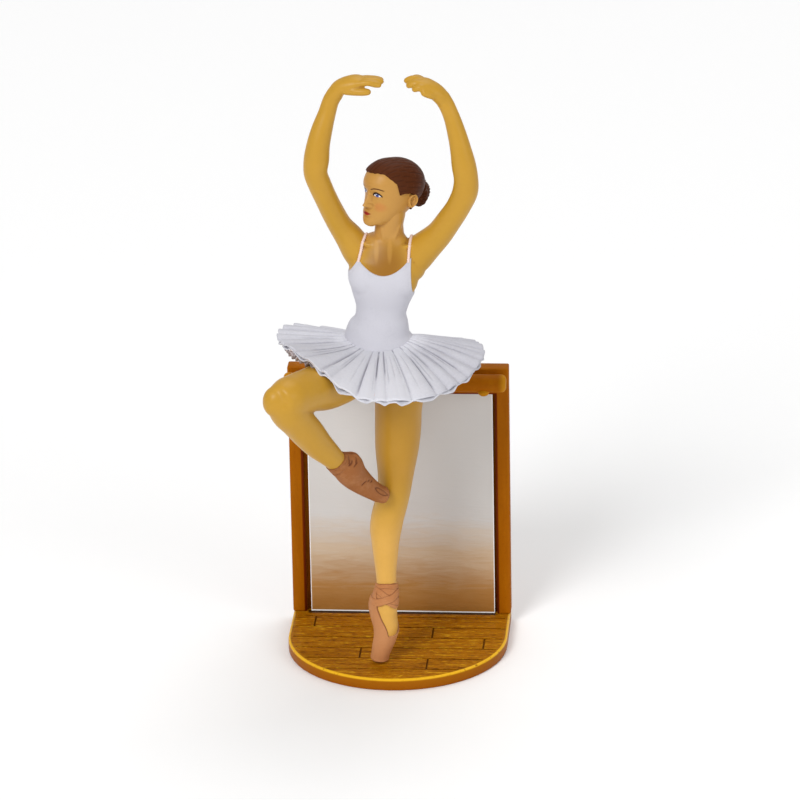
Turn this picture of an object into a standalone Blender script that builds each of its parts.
"""Ballerina figurine: a dancer cast in one piece, balanced on one pointe on a planked base, with a
framed mirror and a practice barre behind. Metres, Z up. The origin is the middle of the base's
underside, and the dancer's chest looks along -Y."""

import math

import bmesh
import bpy
import numpy as np
from mathutils import Matrix

NAME = "ballerina_figurine"

# The dancer
FIGURE_HEIGHT = 0.1153          # tip of the standing shoe to the top of the hands
TOE_X = -0.0023                 # where that tip stands on the base
TOE_Y = -0.0087

# The base
BASE_WIDTH = 0.0412
BASE_DEPTH = 0.0340
BASE_THICKNESS = 0.0023
BASE_EDGE = 0.0003              # rounding of the rim
PLANK_WIDTH = 0.0048
FIRST_GROOVE = 0.0020           # from the frame's face to the first groove
BUTT_JOINTS = (-0.0161, 0.0065, 0.0164, -0.0064, 0.0064)    # one joint across each plank, by its x
GROOVE_WIDTH = 0.00035
GROOVE_DEPTH = 0.00025

# The frame and its mirror
FRAME_OVERHANG = 0.0001         # each side of the frame past the base
FRAME_WIDTH = BASE_WIDTH + 2 * FRAME_OVERHANG
FRAME_HEIGHT = 0.0498
FRAME_DEPTH = 0.0031
POST_WIDTH = 0.0022             # front face of a post, without the slope to the mirror
TOP_RAIL = 0.0049
FRAME_EDGE = 0.0003
RECESS_SLOPE = 0.0004           # width and depth of the slope around the mirror
MIRROR_THICKNESS = 0.0008

# The barre and its two brackets
BARRE_OVERHANG = 0.00005        # each end of the barre past the frame, before the shift
BARRE_LENGTH = FRAME_WIDTH + 2 * BARRE_OVERHANG
BARRE_DIAMETER = 0.0034
BARRE_SHIFT = -0.0003           # the barre sits a little to one side
BARRE_STANDOFF = 0.0015         # open space between the barre and the frame
BARRE_EDGE = 0.0008
BRACKET_INSET = 0.00445         # from the frame's side to the middle of a bracket
BRACKET_SPAN = FRAME_WIDTH - 2 * BRACKET_INSET
BRACKET_WIDTH = 0.0024
BRACKET_WALL = 0.0008

CLEARANCE = 0.0003              # between pieces that touch

BASE_TOP = BASE_THICKNESS
FRAME_FOOT = BASE_TOP + CLEARANCE
FRAME_TOP = BASE_TOP + FRAME_HEIGHT
FRAME_BACK = BASE_DEPTH / 2
FRAME_FACE = FRAME_BACK - FRAME_DEPTH
POCKET_HALF = FRAME_WIDTH / 2 - POST_WIDTH - RECESS_SLOPE
POCKET_TOP = FRAME_TOP - TOP_RAIL - RECESS_SLOPE
MIRROR_FACE = FRAME_FACE + RECESS_SLOPE
BARRE_Y = FRAME_FACE - BARRE_STANDOFF - BARRE_DIAMETER / 2
BARRE_Z = FRAME_TOP - BARRE_DIAMETER / 2

# The dancer is modelled as a study in its own millimetres: x and y from the middle of the base, z from
# the underside of a base that is 2.3 thick. The study's height and toe turn it into the real place.
STUDY_HEIGHT = 115.3
STUDY_TOE = np.array((-2.3, -8.7, 2.3))
UNIT = FIGURE_HEIGHT / STUDY_HEIGHT
VOXEL = 0.33 * UNIT
BODY_SHARE = 0.043              # share of the fused skin's faces that the body keeps

# Rows of x, y, z, half width and half depth along each limb
STANDING_LEG = (
    (2.6, -8.6, 65.0, 3.6, 3.8), (2.5, -8.6, 62.0, 4.5, 4.5), (2.3, -8.9, 57.5, 4.6, 4.6),
    (1.9, -9.1, 52.2, 4.3, 4.4), (1.8, -9.2, 49.0, 4.25, 4.2), (1.5, -9.3, 44.4, 3.95, 3.85),
    (1.3, -9.3, 41.2, 3.5, 3.5), (1.1, -9.3, 38.6, 3.2, 3.35), (0.7, -9.2, 36.0, 3.1, 3.2),
    (0.1, -8.8, 33.3, 3.05, 3.1), (-0.5, -8.4, 31.0, 3.05, 3.2), (-0.9, -8.2, 28.5, 2.95, 3.1),
    (-1.0, -8.3, 26.0, 2.6, 2.8), (-1.0, -8.6, 23.0, 2.25, 2.3), (-0.95, -8.85, 19.5, 1.9, 1.9),
    (-0.9, -8.95, 16.8, 1.8, 1.8), (-0.9, -9.0, 15.5, 1.7, 1.7))
STANDING_SHOE = (
    (-0.95, -8.95, 17.2, 1.9, 1.9), (-1.0, -9.0, 16.4, 2.2, 2.2), (-1.2, -9.0, 14.8, 2.35, 2.6),
    (-1.5, -8.8, 13.2, 2.45, 3.2), (-1.4, -8.9, 11.6, 2.4, 3.0), (-1.1, -9.1, 9.4, 2.25, 2.6),
    (-1.2, -9.2, 7.4, 2.15, 2.2), (-1.7, -9.1, 5.4, 2.0, 1.9), (-2.1, -8.9, 3.6, 1.85, 1.7),
    (-2.3, -8.7, 2.6, 1.7, 1.5), (-2.3, -8.7, 2.3, 1.3, 1.1))
RAISED_THIGH = (
    (-3.8, -7.0, 62.0, 3.4, 3.6), (-5.0, -9.8, 61.4, 4.4, 4.3), (-7.6, -14.2, 61.1, 4.4, 4.25),
    (-10.3, -18.9, 61.1, 4.2, 4.15), (-12.9, -23.5, 61.5, 3.95, 3.85), (-15.2, -27.6, 62.0, 3.6, 3.7),
    (-16.7, -29.8, 62.1, 3.4, 3.5), (-17.8, -31.2, 62.0, 2.5, 2.6), (-18.3, -31.9, 61.9, 0.8, 0.8))
RAISED_SHIN = (
    (-16.6, -30.4, 64.6, 1.2, 1.2), (-16.9, -30.2, 63.0, 2.9, 3.1), (-16.4, -29.2, 60.2, 3.2, 3.2),
    (-15.0, -27.4, 57.2, 3.1, 3.1), (-13.3, -25.5, 54.2, 2.95, 3.0), (-11.5, -23.7, 51.2, 2.55, 2.65),
    (-9.7, -22.0, 48.6, 2.15, 2.2), (-8.4, -20.7, 46.6, 1.85, 1.9), (-7.6, -19.9, 45.4, 1.8, 1.8))
RAISED_SHOE = (
    (-8.6, -20.9, 46.9, 1.8, 1.8), (-7.7, -20.0, 45.6, 2.2, 2.2), (-6.6, -19.0, 44.3, 2.4, 2.7),
    (-5.4, -17.8, 42.8, 2.3, 2.6), (-4.0, -16.3, 40.9, 2.0, 2.1), (-2.7, -15.2, 39.6, 1.8, 1.75),
    (-1.4, -14.2, 38.4, 1.6, 1.5), (-0.4, -13.6, 37.6, 1.3, 1.2), (-0.1, -13.4, 37.3, 0.5, 0.5))
TORSO = (
    (-0.6, -8.6, 57.6, 1.5, 1.2), (-0.7, -8.6, 58.6, 4.2, 3.4), (-0.9, -8.3, 61.5, 6.4, 4.6),
    (-1.1, -8.2, 64.5, 6.8, 4.8), (-1.3, -8.4, 67.2, 6.3, 4.3), (-1.4, -8.7, 69.4, 5.6, 3.7),
    (-1.0, -8.9, 71.6, 4.65, 3.3), (-0.75, -9.0, 73.2, 4.7, 3.25), (-0.6, -9.2, 74.9, 5.3, 3.6),
    (-0.4, -9.4, 77.0, 5.95, 4.1), (-0.1, -9.3, 79.2, 6.35, 4.2), (0.4, -9.1, 81.4, 7.0, 3.9),
    (0.5, -8.9, 83.4, 6.2, 3.4), (0.6, -8.8, 85.0, 4.6, 2.9), (0.8, -8.8, 86.2, 3.0, 2.5),
    (0.8, -8.8, 87.0, 2.0, 2.0))
NECK = (
    (0.7, -8.6, 84.5, 2.9, 2.6), (0.8, -8.8, 86.5, 2.7, 2.5), (0.9, -9.1, 88.5, 2.55, 2.5),
    (1.3, -9.2, 91.0, 2.6, 2.7), (1.6, -9.0, 93.0, 2.2, 2.4))
ARM_LEFT = (
    (-3.6, -8.6, 80.6, 2.6, 2.6), (-4.9, -8.6, 83.0, 3.1, 3.0), (-6.3, -9.0, 85.6, 2.9, 2.8),
    (-7.8, -9.8, 88.1, 2.3, 2.4), (-9.0, -10.8, 90.9, 2.1, 2.2), (-10.1, -12.0, 94.0, 2.05, 2.1),
    (-11.1, -13.0, 97.0, 2.1, 2.1), (-11.8, -13.6, 99.6, 2.15, 2.1), (-11.6, -13.5, 102.0, 2.3, 2.15),
    (-11.2, -13.3, 104.8, 2.1, 2.0), (-10.5, -12.8, 107.6, 1.9, 1.8), (-9.6, -12.3, 110.4, 1.6, 1.5),
    (-8.8, -12.0, 112.8, 1.5, 1.35), (-8.0, -12.0, 114.1, 1.5, 1.25))
ARM_RIGHT = (
    (3.0, -8.6, 79.4, 2.7, 2.6), (5.4, -8.7, 82.2, 3.3, 3.0), (7.5, -9.3, 84.7, 3.0, 2.8),
    (9.8, -10.2, 87.0, 2.5, 2.5), (11.7, -11.3, 89.7, 2.3, 2.3), (13.75, -12.5, 93.2, 2.2, 2.15),
    (15.0, -13.3, 96.4, 2.15, 2.1), (15.15, -13.6, 98.6, 2.2, 2.1), (14.8, -13.5, 101.0, 2.2, 2.1),
    (14.2, -13.2, 104.2, 1.9, 1.9), (13.4, -12.7, 107.4, 1.65, 1.65), (12.4, -12.3, 110.5, 1.45, 1.4),
    (11.6, -12.0, 112.2, 1.45, 1.35), (10.8, -12.0, 113.5, 1.5, 1.3))
PALM_LEFT = (
    (-8.6, -12.0, 113.2, 1.3, 1.3), (-7.2, -12.1, 114.9, 1.6, 1.35), (-5.6, -12.2, 115.7, 1.8, 1.2),
    (-4.0, -12.3, 116.1, 1.7, 0.95), (-3.0, -12.3, 116.3, 1.1, 0.5))
PALM_RIGHT = (
    (11.5, -12.0, 112.4, 1.3, 1.3), (10.4, -12.1, 113.9, 1.7, 1.4), (9.0, -12.2, 115.1, 1.85, 1.25),
    (7.5, -12.3, 115.9, 1.75, 0.95), (6.5, -12.3, 116.1, 1.1, 0.5))

# Rows of x, y, z and radius along each finger, the thumb last
FINGERS_LEFT = (
    ((-4.6, -13.6, 116.0, 0.55), (-2.6, -13.8, 116.7, 0.52), (-0.9, -13.7, 116.4, 0.45)),
    ((-4.4, -12.7, 116.2, 0.55), (-2.0, -12.8, 117.0, 0.52), (0.1, -12.7, 116.7, 0.45)),
    ((-4.4, -11.8, 116.2, 0.55), (-2.0, -11.8, 117.0, 0.52), (0.1, -11.8, 116.5, 0.45)),
    ((-4.6, -10.9, 116.0, 0.52), (-2.6, -10.9, 116.7, 0.48), (-0.9, -10.9, 116.3, 0.42)),
    ((-6.4, -13.0, 114.6, 0.7), (-4.4, -14.0, 114.8, 0.62), (-2.3, -14.2, 115.1, 0.55)))
FINGERS_RIGHT = (
    ((8.0, -13.4, 115.4, 0.55), (7.2, -13.9, 115.6, 0.52), (6.2, -13.8, 115.2, 0.45)),
    ((7.6, -12.6, 116.0, 0.55), (6.2, -12.8, 116.3, 0.52), (4.9, -12.6, 115.7, 0.45)),
    ((7.6, -11.6, 116.2, 0.55), (5.8, -11.6, 116.9, 0.52), (4.4, -11.5, 116.4, 0.45)),
    ((7.8, -10.7, 116.0, 0.52), (6.4, -10.6, 116.7, 0.48), (5.2, -10.6, 116.3, 0.42)),
    ((10.0, -13.0, 114.1, 0.7), (9.0, -13.9, 114.5, 0.62), (7.9, -14.2, 115.0, 0.55)))

# The head: its place, its turn to the side and its lift, and rows of height, middle, half width and
# half depth as shares of its height from chin to crown
HEAD_FOOT = (0.35, -9.0, 88.4)
HEAD_HEIGHT = 12.3
HEAD_TURN = math.radians(-50.0)
HEAD_LIFT = math.radians(-7.0)
HEAD_ROWS = (
    (0.00, -0.29, 0.06, 0.05), (0.04, -0.29, 0.13, 0.10), (0.11, -0.25, 0.20, 0.17),
    (0.21, -0.16, 0.26, 0.26), (0.31, -0.08, 0.30, 0.34), (0.42, -0.02, 0.33, 0.41),
    (0.55, 0.02, 0.35, 0.44), (0.68, 0.03, 0.355, 0.445), (0.80, 0.03, 0.325, 0.40),
    (0.90, 0.03, 0.25, 0.31), (0.97, 0.03, 0.14, 0.17), (1.00, 0.03, 0.04, 0.04))
# Middle and half sizes of the rounded forms on the head, as shares of its height
HEAD_BLOBS = (
    ((0.0, 0.10, 0.63), (0.392, 0.455, 0.39)),
    ((0.0, 0.53, 0.42), (0.21, 0.17, 0.22)),
    ((0.0, -0.415, 0.38), (0.045, 0.075, 0.085)),
    ((0.0, -0.355, 0.24), (0.09, 0.05, 0.03)),
    ((0.345, 0.04, 0.43), (0.04, 0.085, 0.12)),
    ((-0.345, 0.04, 0.43), (0.04, 0.085, 0.12)))
# Middle and half sizes of the bust, the shoulder blades' back, the knee cap and the raised heel
BODY_BLOBS = (
    ((-2.9, -10.6, 78.6), (3.3, 2.9, 3.3)), ((2.5, -10.6, 78.4), (3.3, 2.9, 3.3)),
    ((-3.9, -6.6, 62.6), (3.2, 3.0, 3.4)), ((2.3, -6.4, 62.2), (3.2, 3.0, 3.4)),
    ((-18.2, -30.9, 61.6), (2.3, 2.2, 2.7)), ((-5.7, -17.8, 45.0), (2.0, 2.0, 2.1)))

# The tutu: a disc of pleats tilted up over the raised thigh
TUTU_MIDDLE = (-1.1, -8.5)
TUTU_RADIUS = 18.6
TUTU_RIM_HEIGHTS = (63.2, 62.4, 61.0, 59.8, 59.6, 61.4, 64.6, 66.9,
                    66.8, 66.8, 65.0, 62.0, 61.3, 61.3, 62.6)
WAIST_HALF = (6.0, 4.2)         # half width and half depth of its seam
WAIST_HEIGHT = 66.6
WAIST_LEAN = 0.075              # how much the seam rises toward the raised thigh
DROOP = 1.25                    # power of the fall from seam to rim, on the average
DROOP_BACK = 0.35               # how much straighter it falls behind than at the side
PLEATS = 30
PLEAT_SAMPLES = 4
PLEAT_DEPTH = 0.62
SCALLOP = 0.022
TUTU_EDGE = 0.9
TUTU_RUFFLE = 1.6


def clear_scene():
    for item in list(bpy.data.objects):
        bpy.data.objects.remove(item, do_unlink=True)


def new_collection(name):
    collection = bpy.data.collections.new(name)
    bpy.context.scene.collection.children.link(collection)
    return collection


def material(name, colour, roughness, metallic=0.0):
    paint = bpy.data.materials.new(name)
    paint.use_nodes = True
    shader = paint.node_tree.nodes["Principled BSDF"]
    shader.inputs["Base Color"].default_value = (*colour, 1.0)
    shader.inputs["Roughness"].default_value = roughness
    shader.inputs["Metallic"].default_value = metallic
    return paint


def object_from(name, mesh, collection, paint=None):
    item = bpy.data.objects.new(name, mesh)
    collection.objects.link(item)
    if paint:
        mesh.materials.append(paint)
    return item


def cutter(item):
    item.hide_render = True
    item.display_type = "WIRE"
    return item


def block(name, low, high, collection, paint=None):
    """A box between two corners."""
    bm = bmesh.new()
    bmesh.ops.create_cube(bm, size=1.0)
    low, high = np.array(low), np.array(high)
    for vert in bm.verts:
        vert.co = low + (np.array(vert.co) + 0.5) * (high - low)
    mesh = bpy.data.meshes.new(name)
    bm.to_mesh(mesh)
    bm.free()
    return object_from(name, mesh, collection, paint)


def rod(name, radius, length, centre, collection, paint=None, sides=22):
    """A round bar along X."""
    bm = bmesh.new()
    bmesh.ops.create_cone(bm, cap_ends=True, segments=sides, radius1=radius, radius2=radius, depth=length)
    bmesh.ops.rotate(bm, verts=bm.verts, matrix=Matrix.Rotation(math.pi / 2, 3, "Y"))
    mesh = bpy.data.meshes.new(name)
    bm.to_mesh(mesh)
    bm.free()
    item = object_from(name, mesh, collection, paint)
    item.location = centre
    return item


def boolean(item, other, operation):
    step = item.modifiers.new(operation.title() + "_" + other.name, "BOOLEAN")
    step.operation = operation
    step.solver = "EXACT"
    step.object = other
    return step


def round_edges(item, width, segments=2):
    step = item.modifiers.new("Round", "BEVEL")
    step.width = width
    step.segments = segments
    step.limit_method = "ANGLE"
    step.angle_limit = math.radians(40)
    return step


def smooth_rows(keys, count):
    """Rows read at even steps along a Hermite curve through all the keys."""
    keys = np.asarray(keys, float)
    step = np.linalg.norm(np.diff(keys[:, :3], axis=0), axis=1)
    knot = np.concatenate(([0.0], np.cumsum(step)))
    slope = np.gradient(keys, knot, axis=0)
    at = np.linspace(0.0, knot[-1], count)
    low = np.clip(np.searchsorted(knot, at, side="right") - 1, 0, len(knot) - 2)
    span = (knot[low + 1] - knot[low])[:, None]
    t = (at - knot[low])[:, None] / span
    start = (2 * t ** 3 - 3 * t ** 2 + 1) * keys[low] + (t ** 3 - 2 * t ** 2 + t) * span * slope[low]
    end = (3 * t ** 2 - 2 * t ** 3) * keys[low + 1] + (t ** 3 - t ** 2) * span * slope[low + 1]
    return start + end


def closed_rings(rings):
    """A closed solid from rows of points: quads between the rows and a fan to a pole at each end."""
    rows, sides = rings.shape[:2]
    verts = np.concatenate((rings.reshape(-1, 3), [rings[0].mean(axis=0), rings[-1].mean(axis=0)]))
    first, last = rows * sides, rows * sides + 1
    around = np.arange(sides)
    after = (around + 1) % sides
    faces = []
    for row in range(rows - 1):
        low, high = row * sides, (row + 1) * sides
        faces += [(low + a, low + b, high + b, high + a) for a, b in zip(around, after)]
    end = (rows - 1) * sides
    faces += [(first, b, a) for a, b in zip(around, after)]
    faces += [(last, end + a, end + b) for a, b in zip(around, after)]
    return verts, faces


def limb(keys, front=(0.0, -1.0, 0.0), rings=26, sides=16):
    """Oval rings carried along the curve through the keys, their depth turned to the front."""
    rows = smooth_rows(keys, rings)
    centre = rows[:, :3]
    along = np.gradient(centre, axis=0)
    along /= np.linalg.norm(along, axis=1)[:, None]
    side = np.cross(along, front)
    side /= np.linalg.norm(side, axis=1)[:, None]
    ahead = np.cross(side, along)
    turn = np.linspace(0.0, 2 * math.pi, sides, endpoint=False)[None, :, None]
    across = rows[:, 3, None, None] * np.cos(turn) * side[:, None]
    deep = rows[:, 4, None, None] * np.sin(turn) * ahead[:, None]
    return closed_rings(centre[:, None] + across + deep)


def finger(keys):
    """A round finger with a domed tip, from rows of x, y, z and radius."""
    keys = [(x, y, z, radius, radius) for x, y, z, radius in keys]
    before, tip = np.array(keys[-2]), np.array(keys[-1])
    step = (tip - before)[:3] / np.linalg.norm((tip - before)[:3]) * tip[3]
    dome = [(*(tip[:3] + step * 0.6), tip[3] * 0.8, tip[3] * 0.8), (*(tip[:3] + step), 0.1, 0.1)]
    return limb(keys + dome, (0.0, -0.3, 1.0), rings=9, sides=8)


def blob(centre, half, rows=12, sides=16):
    """An ellipsoid: its half sizes times the sines and cosines of latitude and longitude."""
    high = np.linspace(-math.pi / 2, math.pi / 2, rows + 2)[1:-1, None]
    turn = np.linspace(0.0, 2 * math.pi, sides, endpoint=False)[None]
    unit = np.stack((np.cos(high) * np.cos(turn), np.cos(high) * np.sin(turn), np.sin(high) + 0 * turn), -1)
    return closed_rings(np.array(centre) + unit * np.array(half))


def head_solids():
    """The skull and jaw as rings up the head, and the hair, bun, nose, lips and ears as ellipsoids."""
    rows = [(0.0, y, z, wide, deep) for z, y, wide, deep in HEAD_ROWS]
    solids = [limb(rows, rings=24, sides=20)] + [blob(*form) for form in HEAD_BLOBS]
    lift = np.array(((1, 0, 0), (0, math.cos(HEAD_LIFT), -math.sin(HEAD_LIFT)),
                     (0, math.sin(HEAD_LIFT), math.cos(HEAD_LIFT))))
    turn = np.array(((math.cos(HEAD_TURN), -math.sin(HEAD_TURN), 0),
                     (math.sin(HEAD_TURN), math.cos(HEAD_TURN), 0), (0, 0, 1)))
    return [(np.array(HEAD_FOOT) + HEAD_HEIGHT * verts @ lift.T @ turn.T, faces) for verts, faces in solids]


def body_solids():
    """Every limb of the dancer, in the study's millimetres."""
    turned_out = (0.55, -0.83, 0.0)
    shin_front = (-0.72, -0.25, -0.64)
    solids = [limb(TORSO, rings=34, sides=28), limb(NECK, rings=10, sides=18)]
    solids += [limb(STANDING_LEG, rings=40), limb(STANDING_SHOE, turned_out, rings=20)]
    solids += [limb(RAISED_THIGH, (-0.3, -0.2, 1.0)), limb(RAISED_SHIN, shin_front)]
    solids += [limb(RAISED_SHOE, shin_front, rings=18)]
    solids += [limb(ARM_LEFT, rings=34), limb(ARM_RIGHT, rings=34)]
    solids += [limb(PALM_LEFT, (0.0, -0.3, 1.0), rings=10), limb(PALM_RIGHT, (0.0, -0.3, 1.0), rings=10)]
    solids += [finger(keys) for keys in FINGERS_LEFT + FINGERS_RIGHT]
    solids += [blob(*form) for form in BODY_BLOBS]
    return solids + head_solids()


def rim_height(turn):
    """Height of the tutu's rim, a closed cosine blend between the heights at even steps of the turn."""
    heights = np.array(TUTU_RIM_HEIGHTS)
    at = (turn / (2 * math.pi)) % 1.0 * len(heights)
    low = at.astype(int) % len(heights)
    share = (1 - np.cos((at % 1.0) * math.pi)) / 2
    return heights[low] * (1 - share) + heights[(low + 1) % len(heights)] * share


def tutu_rings():
    """Rings from the middle out over the pleated top, round the rim and back under the ruffles.

    A ring at share s lies between the seam's oval and the rim's circle. Its height falls from the seam to
    the rim with a power of s that is greatest in front, and the pleats are the size of a sine, with sharp
    valleys."""
    count = PLEATS * PLEAT_SAMPLES
    turn = np.linspace(0.0, 2 * math.pi, count, endpoint=False)
    warp = turn + 0.035 * np.sin(5 * turn) + 0.03 * np.sin(3 * turn + 1.0)
    pleat = np.abs(np.sin(PLEATS * warp / 2))
    ruffle = np.cos(PLEATS * turn)
    seam = np.stack((WAIST_HALF[0] * np.cos(turn), WAIST_HALF[1] * np.sin(turn)), -1)
    rim = TUTU_RADIUS * np.stack((np.cos(turn), np.sin(turn)), -1)
    seam_height = WAIST_HEIGHT - WAIST_LEAN * seam[:, 0]
    droop = DROOP - DROOP_BACK * np.sin(turn)

    def ring(share, drop, depth, wave):
        flat = (seam * (1 - share) + rim * share) * (1 + wave)[:, None]
        high = seam_height + (rim_height(turn) - seam_height) * max(share, 0.0) ** droop
        high = high + depth * (pleat - 0.5) - drop
        return np.column_stack((flat + np.array(TUTU_MIDDLE), high))

    still = np.zeros(count)
    scallop = SCALLOP * (pleat - 0.5)
    rings = [ring(-0.12, 0.0, 0.0, still), ring(0.04, 0.0, 0.15, still)]
    for share in (0.25, 0.5, 0.75, 0.93):
        rings.append(ring(share, 0.0, PLEAT_DEPTH * share ** 0.6, scallop * share))
    rings += [ring(1.0, 0.15, PLEAT_DEPTH, scallop), ring(0.99, TUTU_EDGE, PLEAT_DEPTH, scallop)]
    rings.append(ring(0.955, TUTU_RUFFLE, 0.0, -SCALLOP * ruffle / 2))
    rings.append(ring(0.6, TUTU_RUFFLE + 0.4, 0.0, still))
    rings += [ring(0.2, TUTU_RUFFLE + 1.0, 0.0, still), ring(-0.12, TUTU_RUFFLE + 1.4, 0.0, still)]
    return np.array(rings)


def study_mesh(name, solids):
    """Closed solids of the study as one mesh, at the figure's real size and place."""
    foot = np.array((TOE_X, TOE_Y, BASE_TOP + CLEARANCE))
    bm = bmesh.new()
    for verts, faces in solids:
        made = [bm.verts.new(foot + (point - STUDY_TOE) * UNIT) for point in verts]
        for face in faces:
            bm.faces.new([made[index] for index in face])
    bmesh.ops.recalc_face_normals(bm, faces=bm.faces)
    mesh = bpy.data.meshes.new(name)
    bm.to_mesh(mesh)
    bm.free()
    mesh.shade_smooth()
    return mesh


def make_figure(parts, cutters):
    """The dancer: all limbs fused to one skin, and the pleated tutu joined to it."""
    figure = object_from("figure", study_mesh("figure", body_solids()), parts,
                         material("skin", (0.55, 0.30, 0.07), 0.35))
    skin = figure.modifiers.new("Fuse", "REMESH")
    skin.mode = "VOXEL"
    skin.voxel_size = VOXEL
    soften = figure.modifiers.new("Soften", "SMOOTH")
    soften.factor = 0.5
    soften.iterations = 3
    fewer = figure.modifiers.new("Fewer_faces", "DECIMATE")
    fewer.ratio = BODY_SHARE
    tutu = cutter(object_from("tutu_form", study_mesh("tutu_form", [closed_rings(tutu_rings())]), cutters))
    boolean(figure, tutu, "UNION")
    return figure


def base_outline(bm, front_steps=32):
    """The base's outline: a straight back and sides, and a half circle in front."""
    half = BASE_WIDTH / 2
    centre = half - BASE_DEPTH / 2
    corners = [(half, BASE_DEPTH / 2), (-half, BASE_DEPTH / 2)]
    for step in range(front_steps + 1):
        turn = math.pi + math.pi * step / front_steps
        corners.append((half * math.cos(turn), centre + half * math.sin(turn)))
    return bm.faces.new([bm.verts.new((x, y, 0.0)) for x, y in corners])


def make_base(parts, cutters):
    """The base: a rounded slab with planks along X, parted by grooves and staggered butt joints."""
    bm = bmesh.new()
    floor = base_outline(bm)
    lifted = bmesh.ops.extrude_face_region(bm, geom=[floor])["geom"]
    top = [item for item in lifted if isinstance(item, bmesh.types.BMVert)]
    bmesh.ops.translate(bm, verts=top, vec=(0.0, 0.0, BASE_THICKNESS))
    bmesh.ops.recalc_face_normals(bm, faces=bm.faces)
    mesh = bpy.data.meshes.new("base")
    bm.to_mesh(mesh)
    bm.free()
    base = object_from("base", mesh, parts, material("planks", (0.42, 0.19, 0.02), 0.4))
    round_edges(base, BASE_EDGE, 2)
    first = FRAME_FACE - FIRST_GROOVE
    grooves = []
    for row in range(math.floor((first + BASE_DEPTH / 2 - PLANK_WIDTH / 2) / PLANK_WIDTH) + 1):
        y = first - row * PLANK_WIDTH
        forward = max(0.0, BASE_WIDTH / 2 - BASE_DEPTH / 2 - y)
        reach = math.sqrt((BASE_WIDTH / 2) ** 2 - forward ** 2) - 3 * BASE_EDGE
        grooves.append(((-reach, y - GROOVE_WIDTH / 2), (reach, y + GROOVE_WIDTH / 2)))
        if row < len(BUTT_JOINTS):
            x = BUTT_JOINTS[row]
            grooves.append(((x - GROOVE_WIDTH / 2, y - PLANK_WIDTH), (x + GROOVE_WIDTH / 2, y)))
    for index, (low, high) in enumerate(grooves):
        deep, high_z = BASE_TOP - GROOVE_DEPTH, BASE_TOP + GROOVE_DEPTH
        form = cutter(block("groove_%d" % index, (*low, deep), (*high, high_z), cutters))
        boolean(base, form, "DIFFERENCE")
    return base


def make_frame(parts, cutters):
    """The frame: a panel with a pocket for the mirror, open below, and a slope around the pocket."""
    paint = material("frame_paint", (0.36, 0.12, 0.0), 0.25)
    frame = block("frame", (-FRAME_WIDTH / 2, FRAME_FACE, FRAME_FOOT),
                  (FRAME_WIDTH / 2, FRAME_BACK, FRAME_TOP), parts, paint)
    round_edges(frame, FRAME_EDGE, 2)
    pocket_floor = MIRROR_FACE + MIRROR_THICKNESS + CLEARANCE
    pocket = cutter(block("pocket_form", (-POCKET_HALF, MIRROR_FACE, 0.0),
                          (POCKET_HALF, pocket_floor, POCKET_TOP), cutters))
    boolean(frame, pocket, "DIFFERENCE")
    slope = cutter(block("slope_form", (-1.0, FRAME_FACE - RECESS_SLOPE, 0.0),
                         (1.0, MIRROR_FACE + CLEARANCE / 2, 1.0), cutters))
    for vert in slope.data.vertices:
        grow = RECESS_SLOPE * 2 if vert.co.y < FRAME_FACE else -CLEARANCE / 2
        vert.co.x = math.copysign(POCKET_HALF + grow, vert.co.x)
        vert.co.z = POCKET_TOP + grow if vert.co.z > 0.5 else 0.0
    boolean(frame, slope, "DIFFERENCE")
    return frame


def make_mirror(parts):
    """The mirror: a silvered plate in the pocket, clear of its edges all round."""
    return block("mirror", (-POCKET_HALF + CLEARANCE, MIRROR_FACE, FRAME_FOOT),
                 (POCKET_HALF - CLEARANCE, MIRROR_FACE + MIRROR_THICKNESS, POCKET_TOP - CLEARANCE), parts,
                 material("silvering", (0.75, 0.74, 0.73), 0.15, 0.9))


def make_barre(parts):
    """The barre: a round rail with rounded ends, level with the top of the frame."""
    barre = rod("barre", BARRE_DIAMETER / 2, BARRE_LENGTH, (BARRE_SHIFT, BARRE_Y, BARRE_Z), parts,
                material("rail_paint", (0.34, 0.11, 0.0), 0.25))
    round_edges(barre, BARRE_EDGE, 2)
    return barre


def make_bracket(name, x, parts, cutters, paint):
    """A bracket: a cradle around the lower half of the barre and an arm back to the frame."""
    seat_radius = BARRE_DIAMETER / 2 + CLEARANCE
    outer = seat_radius + BRACKET_WALL
    half = BRACKET_WIDTH / 2
    arm_half = BRACKET_WIDTH / 3
    bracket = rod(name, outer, BRACKET_WIDTH, (x, BARRE_Y, BARRE_Z), parts, paint)
    arm = cutter(block(name + "_arm", (x - arm_half, BARRE_Y, BARRE_Z - outer + BRACKET_WALL / 3),
                       (x + arm_half, FRAME_FACE - CLEARANCE, BARRE_Z), cutters))
    boolean(bracket, arm, "UNION")
    seat = cutter(rod(name + "_seat", seat_radius, 2 * BRACKET_WIDTH, (x, BARRE_Y, BARRE_Z), cutters))
    boolean(bracket, seat, "DIFFERENCE")
    mouth = cutter(block(name + "_mouth", (x - 2 * half, BARRE_Y - 2 * outer, BARRE_Z + CLEARANCE / 3),
                         (x + 2 * half, BARRE_Y + 2 * outer, BARRE_Z + 2 * outer), cutters))
    boolean(bracket, mouth, "DIFFERENCE")
    return bracket


def main():
    clear_scene()
    parts = new_collection(NAME)
    cutters = new_collection("cutters")
    make_base(parts, cutters)
    make_frame(parts, cutters)
    make_mirror(parts)
    make_barre(parts)
    bracket_paint = material("bracket_paint", (0.40, 0.16, 0.01), 0.3)
    for name, side in (("bracket_left", -1), ("bracket_right", 1)):
        make_bracket(name, side * BRACKET_SPAN / 2, parts, cutters, bracket_paint)
    make_figure(parts, cutters)


if __name__ == "__main__":
    main()
